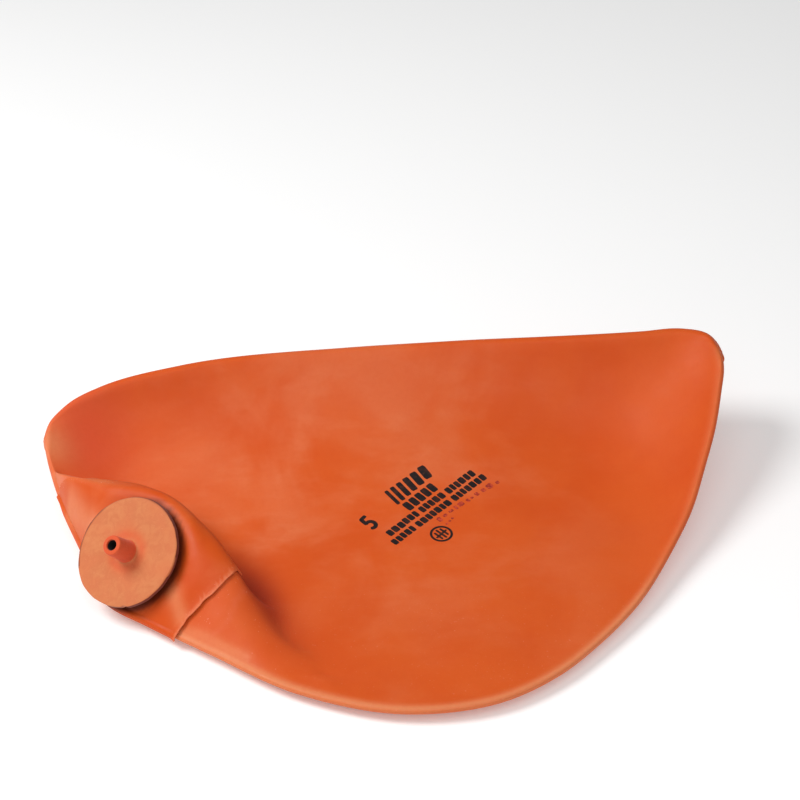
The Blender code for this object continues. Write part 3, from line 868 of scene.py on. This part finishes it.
def valve_patch():
    """The cemented patch: a thin ragged sheet on the swelling that stands off a little at its edge."""
    strip = patch_sheet()
    normals = surface_normals(strip)
    normals = normals * np.sign(normals[..., 2].mean())
    _, radius, bearing = from_axis(strip)
    inside = (outline_radius(bearing) - radius) / MM
    loosest = np.cos(np.radians(bearing - LOOSE_BEARING)) ** 8 * (np.abs(bearing) < 90)
    lifted = EDGE_LIFT * (0.35 + 0.65 * loosest) * (1 - smooth_step(inside / EDGE_LIFT_REACH))
    strip = strip + normals * (PATCH_CLEARANCE + lifted)[..., None]
    patch = mesh_object("cemented_patch", strip.reshape(-1, 3), quads(numbered(strip)))
    first = patch.data.polygons[len(patch.data.polygons) // 2].normal
    solidify = patch.modifiers.new("thickness", "SOLIDIFY")
    solidify.thickness = PATCH_THICKNESS
    solidify.offset = 1.0 if first.z > 0 else -1.0
    bake_modifiers(patch)
    for cutter, operation in ((patch_cutter(), "INTERSECT"), (neck_cutter(), "DIFFERENCE")):
        boolean = patch.modifiers.new(cutter.name, "BOOLEAN")
        boolean.operation = operation
        boolean.solver = "MANIFOLD"
        boolean.object = cutter
        bake_modifiers(patch)
        bpy.data.objects.remove(cutter)
    patch.data.shade_smooth()
    patch.data.set_sharp_from_angle(angle=math.radians(50))
    paint_patch(patch)
    return patch


def paint_patch(patch):
    """Marks the patch's pale cut edge, the painted highlights on its ridge and creases, its dusty margin and
    the painted shadow under the flange.
    """
    points = coordinates(patch)
    _, radius, bearing = from_axis(points)
    inside = (outline_radius(bearing) - radius) / MM
    edge = 0.6 * bump(inside, 0.35) * (1 - smooth_step((bearing - 12) / 10))
    # Painted highlights: the ridge and the two creases are painted lighter.
    pale = ridge_highlight(points)
    for crest in (PATCH_RIGHT_CREST_HIGHLIGHT, PATCH_LEFT_CREST_HIGHLIGHT):
        to_crest, _ = from_curve(points, crest)
        pale = np.maximum(pale, 0.5 * bump(to_crest, 2.0))
    dust = bump(inside, 2.0) * (0.3 + 0.7 * bump(turned_from(bearing, UPPER_LEFT_BEARING), 35))
    # Painted shadow: the patch is painted dark round under the flange's edge.
    shade = 0.9 * smooth_step(((FLANGE_RADIUS - radius) / MM + SHADE_PAST_FLANGE) / SHADE_FADE)
    paint(patch, edge=edge, pale=pale, dust=dust, shade=shade)


# --- The valve ---


def arc(centre, radius, start, end, steps):
    """Profile points on an arc, in degrees from the profile's outward direction."""
    turns = np.radians(np.linspace(start, end, steps))
    return [(centre[0] + radius * math.cos(t), centre[1] + radius * math.sin(t)) for t in turns]


def body_profile():
    """Stem, flange, neck, collar and hub, down the outer side and back up the bore, as radius and height."""
    profile = [(BORE_RADIUS + 0.15 * MM, STEM_TOP)]
    profile += arc((STEM_TIP_RADIUS - 0.4 * MM, STEM_TOP - 0.4 * MM), 0.4 * MM, 90, 0, 6)
    for share in np.linspace(0.1, 0.9, 8):
        radius = STEM_TIP_RADIUS + share * (STEM_RADIUS - STEM_TIP_RADIUS)
        profile.append((radius, STEM_TOP - share * (STEM_TOP - FLANGE_TOP)))
    profile += arc((STEM_RADIUS + 0.7 * MM, FLANGE_TOP + 0.7 * MM), 0.7 * MM, 180, 270, 7)
    profile += [(ring * MM, FLANGE_TOP) for ring in FLANGE_TOP_RINGS]
    profile += arc((FLANGE_RADIUS - 0.35 * MM, FLANGE_TOP - 0.35 * MM), 0.35 * MM, 90, 0, 5)
    profile += [(FLANGE_RADIUS + 0.03 * MM, (FLANGE_TOP + FLANGE_UNDERSIDE) / 2)]
    profile += arc((FLANGE_RADIUS - 0.4 * MM, FLANGE_UNDERSIDE + 0.4 * MM), 0.4 * MM, 0, -90, 5)
    profile += [(ring * MM, FLANGE_UNDERSIDE) for ring in FLANGE_UNDER_RINGS]
    profile += arc((NECK_RADIUS + 0.6 * MM, FLANGE_UNDERSIDE - 0.6 * MM), 0.6 * MM, 90, 180, 5)
    profile += [(NECK_RADIUS, COLLAR_TOP), (COLLAR_RADIUS - 0.3 * MM, COLLAR_TOP)]
    profile += [(COLLAR_RADIUS, COLLAR_TOP - 0.3 * MM), (COLLAR_RADIUS, COLLAR_UNDERSIDE)]
    profile += [(NECK_RADIUS, COLLAR_UNDERSIDE), (NECK_RADIUS - 0.2 * MM, HUB_BOTTOM + 0.5 * MM)]
    profile += arc((NECK_RADIUS - 0.7 * MM, HUB_BOTTOM + 0.5 * MM), 0.5 * MM, 0, -90, 5)
    profile += [(RETAINING_HOLE_RADIUS, HUB_BOTTOM), (RETAINING_HOLE_RADIUS, CHAMBER_BOTTOM)]
    profile += [(CHAMBER_RADIUS, CHAMBER_BOTTOM), (CHAMBER_RADIUS, CHAMBER_TOP)]
    in_bore = (CHAMBER_TOP, FLANGE_TOP, STEM_TOP - 0.7 * MM, STEM_TOP - 0.5 * MM, STEM_TOP - 0.15 * MM)
    return profile + [(BORE_RADIUS, height) for height in in_bore]


def turned(name, profile, reshape=None):
    """A closed solid turned round the valve's axis; reshape may move its points before they are placed."""
    turns = np.linspace(0, 2 * math.pi, ROUND_STEPS + 1)[:-1]
    radius, height = np.array(profile).T
    heights = np.broadcast_to(height, (ROUND_STEPS, len(height)))
    points = np.stack([np.outer(np.cos(turns), radius), np.outer(np.sin(turns), radius), heights], axis=-1)
    if reshape:
        points = reshape(points)
    ids = numbered(points)
    ids = np.concatenate([ids, ids[:1]])
    ids = np.concatenate([ids, ids[:, :1]], axis=1)
    made = axis_object(name, points.reshape(-1, 3), quads(ids))
    made.data.set_sharp_from_angle(angle=math.radians(45))
    return made


def flange_wear(points):
    """The flange is hand trimmed and soft: its edge wanders, its rim dips a little and one spot is torn."""
    turn = np.arctan2(points[..., 1], points[..., 0])
    radius = np.hypot(points[..., 0], points[..., 1])
    out = smooth_step((radius - 9 * MM) / (9 * MM)) * (points[..., 2] > 0)
    wander = 0.16 * np.sin(2 * turn + 0.6) + 0.10 * np.sin(5 * turn) + 0.04 * np.sin(17 * turn)
    torn = -TEAR_DEPTH * bump(turned_from(np.degrees(turn), TEAR_BEARING), TEAR_WIDTH)
    stretch = 1 + (wander + torn) * MM * out / np.maximum(radius, 1 * MM)
    dip = 0.22 * np.sin(turn + 2.2) + 0.12 * np.sin(3 * turn + 0.8)
    moved = points.copy()
    moved[..., 0] *= stretch
    moved[..., 1] *= stretch
    moved[..., 2] += dip * MM * out
    return moved


def valve_moulding():
    """The flange valve's body, in one moulding."""
    body = turned("flange_valve", body_profile(), flange_wear)
    points = coordinates(body)
    height, radius, _ = from_axis(points)
    on_top = height > FLANGE_TOP - 0.6 * MM
    stem = (radius < STEM_RADIUS + 0.7 * MM) & (height > FLANGE_TOP + 0.3 * MM)
    worn = np.where(stem, 0.85, 0.45 * bump(radius / MM - 5.2, 1.6) * on_top)
    # Painted shade: the flange's side wall and its underside are painted dark.
    rim = smooth_step(((radius - FLANGE_RADIUS) / MM + 0.5) / 0.4) * (height < FLANGE_TOP - 0.1 * MM)
    rim = np.maximum(rim, height < FLANGE_UNDERSIDE + 0.2 * MM)
    bore = (radius < BORE_RADIUS + 0.1 * MM) & (height < STEM_TOP - 0.6 * MM)
    paint(body, worn=worn, rim=rim, bore=bore)
    return body


def valve_plug():
    """The self-closing core in the hub, with bevelled ends and the fine channel that a needle opens."""
    top = CHAMBER_TOP - CORE_CLEARANCE
    bottom = CHAMBER_BOTTOM + CORE_CLEARANCE
    side = CHAMBER_RADIUS - CORE_CLEARANCE
    bevel = 0.5 * MM
    profile = [(CORE_CHANNEL_RADIUS, top)]
    profile += arc((side - bevel, top - bevel), bevel, 90, 0, 6)
    profile += arc((side - bevel, bottom + bevel), bevel, 0, -90, 6)
    profile += [(CORE_CHANNEL_RADIUS, bottom)]
    return turned("gum_core", profile)


# --- The stamp ---


def ribbon(points, width, closed=False):
    """A flat stroke along a line of points, in the stamp's own millimetres, as points and faces."""
    line = np.array(points, float)
    if closed:
        line = np.concatenate([line, line[:1]])
    run = run_along(line)
    count = max(3, int(run[-1] * MM / INK_STEP) + 1)
    at = np.linspace(0, run[-1], count)
    line = between(at, run, line)
    tangent = np.gradient(line, axis=0)
    if closed:
        tangent[0] = tangent[-1] = tangent[0] + tangent[-1]
    tangent = tangent / np.linalg.norm(tangent, axis=-1, keepdims=True)
    across = np.stack([-tangent[:, 1], tangent[:, 0]], axis=-1)
    half = np.full(count, width / 2)
    if not closed:
        end = np.minimum(at, at[-1] - at)
        half = half * (STROKE_END_WIDTH + (1 - STROKE_END_WIDTH) * smooth_step(end / (0.3 * width)))
    grid = np.stack([line + across * half[:, None] * side for side in (-1, 0, 1)], axis=1)
    return grid.reshape(-1, 2), quads(numbered(grid))


def stamped(name, strokes, skin_tree):
    """One mesh of ink strokes, laid down on the bladder's skin."""
    heading = np.array((math.cos(STAMP_HEADING), math.sin(STAMP_HEADING)))
    upright = np.array((-heading[1], heading[0]))
    points, faces = [], []
    for flat, stroke_faces in strokes:
        offset = len(points)
        for a, b in flat:
            plan = np.array(STAMP_CORNER) + (a * heading + b * upright) * MM
            hit, normal, _, _ = skin_tree.ray_cast(Vector((*plan, INK_RAY_HEIGHT)), Vector((0, 0, -1)))
            points.append(tuple(hit + normal * INK_RISE))
        faces += [tuple(int(i) + offset for i in face) for face in stroke_faces]
    made = mesh_object(name, points, faces)
    upwards = made.data.polygons[0].normal.z > 0
    thickness = made.modifiers.new("ink", "SOLIDIFY")
    thickness.thickness = INK_THICKNESS
    thickness.offset = -1.0 if upwards else 1.0
    bake_modifiers(made)
    made.data.set_sharp_from_angle(angle=math.radians(45))
    return made


def size_numeral():
    """The size number 5, drawn in strokes."""
    bowl = [(1.7 + 1.4 * math.cos(t), 10.3 + 1.6 * math.sin(t)) for t in np.linspace(2.3, -2.5, 24)]
    return [
        ribbon([(0.9, 14.1), (3.5, 14.4)], 1.3),
        ribbon([(1.3, 14.4), (1.0, 11.3)], 1.3),
        ribbon(bowl, 1.35),
    ]


def bold_bars():
    """A generic device: slanted bars that grow wider to the right."""
    strokes = []
    left = 13.6
    for number in range(6):
        width = 1.3 + 0.3 * number
        low, high = 9.9 + 0.12 * number, 16.9 - 0.22 * number
        strokes.append(ribbon([(left + width / 2, low), (left + width / 2 + 1.3, high)], width))
        left += width + 0.95
    return strokes


def blocks():
    """Five solid blocks in a row."""
    return [ribbon([(15.4 + 2.8 * number, 5.3), (15.6 + 2.8 * number, 9.1)], 2.3) for number in range(5)]


def dashes(start, end, level, drop, height, seed):
    """A row of short blocks in groups, sagging a little to the right as a soft stamp prints."""
    source = random.Random(seed)
    strokes = []
    left = start
    until_gap = source.randint(4, 7)
    while left < end - 1.2:
        width = source.uniform(1.5, 2.2)
        sag = drop * ((left - start) / (end - start)) ** 2
        low = level - height / 2 - sag + source.uniform(-0.1, 0.1)
        middle = left + width / 2
        strokes.append(ribbon([(middle, low), (middle + 0.12, low + height)], width))
        left += width + 0.32
        until_gap -= 1
        if until_gap == 0:
            left += 1.0
            until_gap = source.randint(4, 8)
    return strokes


def ball_ring():
    """A ring with three upright bars and a crossbar inside it."""
    x, y = RING_CENTRE
    turns = np.linspace(0, 2 * math.pi, 40)[:-1]
    ring = [(x + RING_RADIUS * math.cos(turn), y + RING_RADIUS * math.sin(turn)) for turn in turns]
    strokes = [ribbon(ring, RING_STROKE, closed=True)]
    for offset, reach in ((-1.3, 1.9), (0.0, 2.35), (1.3, 1.9)):
        bar = [(x + offset - 0.1, y - reach), (x + offset + 0.1, y + reach)]
        strokes.append(ribbon(bar, RING_STROKE))
    strokes.append(ribbon([(x - 2.4, y - 0.2), (x + 2.4, y + 0.1)], 0.7))
    return strokes


def faint_marks():
    """What the stamp left where it hardly touched: a broken line of small dashes, and three more under it."""
    source = random.Random(11)
    strokes = []
    left = FAINT_START
    while left < FAINT_END:
        width = source.uniform(0.9, 2.2)
        sag = 2.2 * ((left - FAINT_START) / (FAINT_END - FAINT_START)) ** 2
        level = -3.9 - sag + source.uniform(-0.15, 0.15)
        strokes.append(ribbon([(left, level), (left + width, level - 0.1)], source.uniform(0.9, 2.3)))
        left += width + source.uniform(0.6, 1.6)
    for number in range(3):
        left, low = 17.4 + 1.5 * number, -6.9 + 0.2 * number
        strokes.append(ribbon([(left, low), (left + 0.9, low + 0.1)], 0.8))
    return strokes


# --- Studio ---


def studio_floor():
    """A plain, flat, pale floor."""
    floor = bpy.data.meshes.new("studio_floor")
    bm = bmesh.new()
    bmesh.ops.create_grid(bm, x_segments=8, y_segments=8, size=FLOOR_REACH)
    bm.to_mesh(floor)
    bm.free()
    s = Shader("pale_floor")
    colour = s.mix(s.noise(0.4, 2.0), (0.90, 0.90, 0.90, 1.0), (0.93, 0.93, 0.925, 1.0))
    normal = s.bumps(s.noise(4 * MM), 0.01 * MM)
    floor.materials.append(s.done(colour, 0.9, normal, specular_ior_level=0.1, emission_strength=0.2))
    placed("studio_floor", floor)


def area_light(name, position, size, power):
    """A round white light aimed at the middle of the part."""
    light = bpy.data.lights.new(name, "AREA")
    light.shape = "DISK"
    light.size = size
    light.energy = power
    made = placed(name, light)
    made.location = position
    made.rotation_euler = (-Vector(position)).to_track_quat("-Z", "Y").to_euler()


def studio_light():
    """Soft light from the upper left, a wider fill from above the front, and a white surround."""
    area_light("key", (-0.55, -0.05, 0.7), 0.42, 5.2)
    area_light("fill", (0.1, -0.5, 0.85), 1.0, 3.2)
    world = bpy.data.worlds.new("white_surround")
    world.use_nodes = True
    background = world.node_tree.nodes["Background"]
    background.inputs["Color"].default_value = (1.0, 1.0, 1.0, 1.0)
    background.inputs["Strength"].default_value = 0.26
    bpy.context.scene.world = world


def studio_camera():
    """The camera that sees the part as the photographer did."""
    camera = bpy.data.cameras.new("camera")
    camera.lens = CAMERA_LENS
    camera.sensor_width = 36
    camera.clip_start = 0.01
    made = placed("camera", camera)
    away = Vector((0, -math.cos(CAMERA_ELEVATION), math.sin(CAMERA_ELEVATION)))
    made.location = CAMERA_AIM + away * CAMERA_DISTANCE
    made.rotation_euler = (-away).to_track_quat("-Z", "Y").to_euler()
    bpy.context.scene.camera = made


# --- The build ---

bpy.context.scene.view_settings.view_transform = "Standard"
studio_camera()
studio_light()
studio_floor()

skin = bladder_skin()
skin_tree = BVHTree.FromPolygons(
    [tuple(v.co) for v in skin.data.vertices], [tuple(p.vertices) for p in skin.data.polygons]
)
finish_piece(skin, "bladder", ["bladder_envelope"], latex_skin())
finish_piece(valve_patch(), "bladder", ["valve_patch"], patch_skin())
finish_piece(valve_moulding(), "valve", ["valve_body"], moulded_rubber())
finish_piece(valve_plug(), "valve", ["valve_core"], gum_core())

black_ink = stamp_ink("black_stamp_ink", rgb(24, 18, 19), rgb(84, 42, 28), 0.58)
faded_ink = stamp_ink("faded_stamp_ink", rgb(150, 46, 34), rgb(208, 76, 46), 0.44)
stamp = size_numeral() + bold_bars() + blocks() + ball_ring()
stamp += dashes(start=1.9, end=40.5, level=3.3, drop=1.2, height=2.7, seed=5)
stamp += dashes(start=0.0, end=41.5, level=-0.4, drop=0.9, height=2.6, seed=8)
finish_piece(stamped("ink_stamp", stamp, skin_tree), "bladder", [], black_ink)
finish_piece(stamped("faint_ink_stamp", faint_marks(), skin_tree), "bladder", [], faded_ink)
